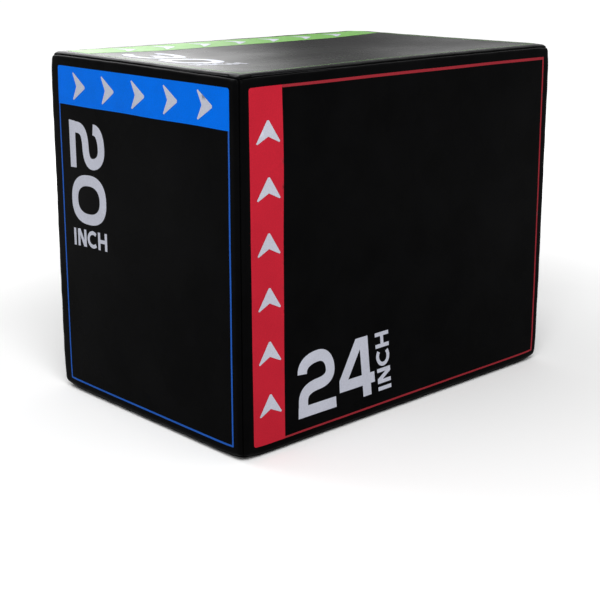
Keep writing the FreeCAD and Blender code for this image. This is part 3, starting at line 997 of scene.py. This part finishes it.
def band_marks(face, colour, insets, band_width, lines, feet, beside=0.0, skew=0.0):
    """A face's band with its chevrons, and the border line round the rest of the face."""
    left, low = insets[:2]
    far, high = FACES[face].width - insets[2], FACES[face].height - insets[3]
    right = left + band_width
    inner = BAND_CORNER * BAND_CORNER_SHARE
    band = [
        (left + BAND_CORNER, low), (right, low), (right, high), (left + BAND_CORNER, high),
        (left + inner, high - inner), (left, high - BAND_CORNER),
        (left, low + BAND_CORNER), (left + inner, low + inner),
    ]
    printed(f"{face}_band", face, [moved(band, 0, 0, skew)], [], colour, INK_LIFT)
    border = [
        box_outline(right, low, far, low + lines[0]),
        box_outline(far - lines[1], low, far, high),
        box_outline(right, high - lines[2], far, high),
    ]
    border = [moved(part, 0, 0, skew) for part in border]
    printed(f"{face}_border_line", face, border, [], colour, INK_LIFT, LINE_INKS[colour])

    first, last, count = feet
    pitch, middle = (last - first) / (count - 1), (left + right) / 2 + beside
    tips = [(middle, first + pitch * at + CHEVRON_LENGTH) for at in range(count)]
    chevrons = [moved(chevron(tip), 0, 0, skew) for tip in tips]
    printed(f"{face}_chevrons", face, chevrons, [], "white", SECOND_INK_LIFT)


def height_marks(face, number, gap, start, baseline, lean=0.0, size=(1.0, 1.0)):
    """The height that a face stands for: its number, and the unit turned beside it."""

    def placed(outline):
        sized = [(x * size[0], y * size[1]) for x, y in outline]
        return moved(sized, start, baseline, lean)

    shapes, holes = [], []
    for at, character in enumerate(number):
        for found, outlines in zip((shapes, holes), digit(character)):
            found.extend(placed(moved(outline, at * DIGIT_PITCH, 0)) for outline in outlines)
    printed(f"{face}_height", face, shapes, holes, "white", INK_LIFT)

    unit_start = (len(number) - 1) * DIGIT_PITCH + DIGIT_WIDTH + gap + UNIT_HEIGHT
    unit = [
        placed(moved(turned(moved(outline, place * UNIT_LENGTH, 0)), unit_start, UNIT_RISE))
        for place, outlines in unit_letters() for outline in outlines
    ]
    printed(f"{face}_unit", face, unit, [], "white", INK_LIFT)


# Setting

def shown_rays(tree):
    """1 for rays from the camera and for what gloss and glass show, else 0."""
    path = tree.nodes.new("ShaderNodeLightPath").outputs
    shown = path["Is Camera Ray"]
    for ray in ("Is Glossy Ray", "Is Transmission Ray"):
        shown = math_node(tree, "MAXIMUM", shown, path[ray])
    return shown


def floor_material():
    """White to the camera and pale to the light that it throws back, with the box's shadow."""
    material = bpy.data.materials.new("floor_white")
    material.use_nodes = True
    tree = material.node_tree
    nodes, links = tree.nodes, tree.links
    nodes.remove(nodes["Principled BSDF"])
    pale, white = nodes.new("ShaderNodeBsdfDiffuse"), nodes.new("ShaderNodeBsdfDiffuse")
    pale.inputs["Color"].default_value = (FLOOR_BOUNCE, FLOOR_BOUNCE, FLOOR_BOUNCE, 1)
    away, level = nodes.new("ShaderNodeVectorMath"), nodes.new("ShaderNodeMapRange")
    away.operation, level.interpolation_type = "LENGTH", "SMOOTHSTEP"
    links.new(nodes.new("ShaderNodeTexCoord").outputs["Object"], away.inputs[0])
    links.new(away.outputs["Value"], level.inputs["Value"])
    for socket, value in FLOOR_WHITENESS.items():
        level.inputs[socket].default_value = value
    links.new(level.outputs["Result"], white.inputs["Color"])
    mix = nodes.new("ShaderNodeMixShader")
    links.new(shown_rays(tree), mix.inputs["Fac"])
    links.new(pale.outputs["BSDF"], mix.inputs[1])
    links.new(white.outputs["BSDF"], mix.inputs[2])
    links.new(mix.outputs["Shader"], nodes["Material Output"].inputs["Surface"])
    return material


def floor():
    """A floor that reaches far past the picture."""
    corners = box_outline(-FLOOR_REACH, -FLOOR_REACH, FLOOR_REACH, FLOOR_REACH)
    mesh = bpy.data.meshes.new("floor")
    mesh.from_pydata([(x, y, 0) for x, y in corners], [], [(0, 1, 2, 3)])
    mesh.materials.append(floor_material())
    made = bpy.data.objects.new("floor", mesh)
    bpy.context.scene.collection.objects.link(made)


def surroundings():
    """A world that is white to the camera, fills shadows and shows its screens in reflections."""
    world = bpy.data.worlds.new("studio")
    bpy.context.scene.world = world
    world.use_nodes = True
    tree = world.node_tree
    nodes, links = tree.nodes, tree.links
    way = nodes.new("ShaderNodeTexCoord").outputs["Generated"]

    def facing(direction, least, most):
        """0 to 1 as the way that is looked goes from least to most along a direction."""
        dot, step = nodes.new("ShaderNodeVectorMath"), nodes.new("ShaderNodeMapRange")
        dot.operation, step.interpolation_type = "DOT_PRODUCT", "SMOOTHSTEP"
        dot.inputs[1].default_value = direction
        step.inputs["From Min"].default_value = least
        step.inputs["From Max"].default_value = most
        links.new(way, dot.inputs[0])
        links.new(dot.outputs["Value"], step.inputs["Value"])
        return step.outputs["Result"]

    def near(azimuth, elevation, inner, outer):
        """1 within an angle of a direction, falling to 0 at a wider one."""
        a, e = math.radians(azimuth), math.radians(elevation)
        direction = (math.sin(a) * math.cos(e), math.cos(a) * math.cos(e), math.sin(e))
        return facing(direction, math.cos(math.radians(outer)), math.cos(math.radians(inner)))

    def beyond(azimuth, spread):
        """0 to the left of an upright line at an azimuth, 1 to its right."""
        a, reach = math.radians(azimuth), math.sin(math.radians(spread))
        return facing((math.cos(a), -math.sin(a), 0), -reach, reach)

    def added(source, share, rest):
        """A source times a share, on top of the rest."""
        return math_node(tree, "ADD", math_node(tree, "MULTIPLY", source, share), rest)

    level = BACK_LEVEL
    for azimuth, spread, change in BACK_STEPS:
        level = added(beyond(azimuth, spread), change, level)
    screens = math_node(tree, "MULTIPLY", near(*BACK_SCREEN), level)
    for screen, strength in SIDE_SCREENS:
        screens = added(near(*screen), strength, screens)
    glossy = nodes.new("ShaderNodeLightPath").outputs["Is Glossy Ray"]
    seen, ground = nodes.new("ShaderNodeMix"), nodes["Background"]
    links.new(shown_rays(tree), seen.inputs["Factor"])
    seen.inputs["A"].default_value = FILL_LEVEL
    links.new(added(screens, glossy, 1.0), seen.inputs["B"])
    ground.inputs["Color"].default_value = (1, 1, 1, 1)
    links.new(seen.outputs["Result"], ground.inputs["Strength"])


def lamp(name, place, size, power):
    """A soft rectangular lamp that faces the box."""
    data = bpy.data.lights.new(name, "AREA")
    data.shape, data.size, data.size_y, data.energy = "RECTANGLE", *size, power
    made = bpy.data.objects.new(name, data)
    made.location = place
    made.rotation_euler = (MIDDLE - Vector(place)).to_track_quat("-Z", "Y").to_euler()
    made.visible_camera = False
    bpy.context.scene.collection.objects.link(made)


def camera():
    """The photograph's viewpoint, with a small shift that moves the box up in the picture."""
    data = bpy.data.cameras.new("camera")
    data.lens, data.sensor_width, data.shift_y = VIEW_LENS, VIEW_SENSOR, VIEW_SHIFT
    made = bpy.data.objects.new("camera", data)
    made.location = VIEW_PLACE
    pitch = math.pi / 2 - math.radians(VIEW_ELEVATION)
    made.rotation_euler = (pitch, 0, math.radians(VIEW_AZIMUTH))
    bpy.context.scene.collection.objects.link(made)
    bpy.context.scene.camera = made
    bpy.context.scene.view_settings.view_transform = "Standard"


def paint_frame_nodes():
    """Materials for the CAD nodes that show as they are."""
    by_part = {
        "core_plank": CORE_FOAM, "seam_binding": BINDING, "_tape": TAPE, "end_stop": ENAMEL,
        "zip_slider": ENAMEL, "zip_pull": ENAMEL,
    }
    for node, shown in frame["nodes"].items():
        for part, material in by_part.items():
            if part in node:
                shown.data.materials.clear()
                shown.data.materials.append(material)


camera()
floor()
surroundings()
for settings in LAMPS:
    lamp(*settings)
paint_frame_nodes()
for side in ("front", "left", "top", "right", "bottom"):
    cover_panel(side)
back_frame()
back_door()
fold_strip()
for side in FACES:
    foam_pad(side)
zip_teeth()
stitch_row("zip_stitches_outer", ZIP_SLOT_HALF + STITCH_INSET, TAPE_LOW.z, "box")
stitch_row("zip_stitches_door", -ZIP_SLOT_HALF - STITCH_INSET, FOLD_HEIGHT + FOLD_HALF, "door")
for side, (band, height) in MARKS.items():
    band_marks(side, **band)
    height_marks(side, **height)
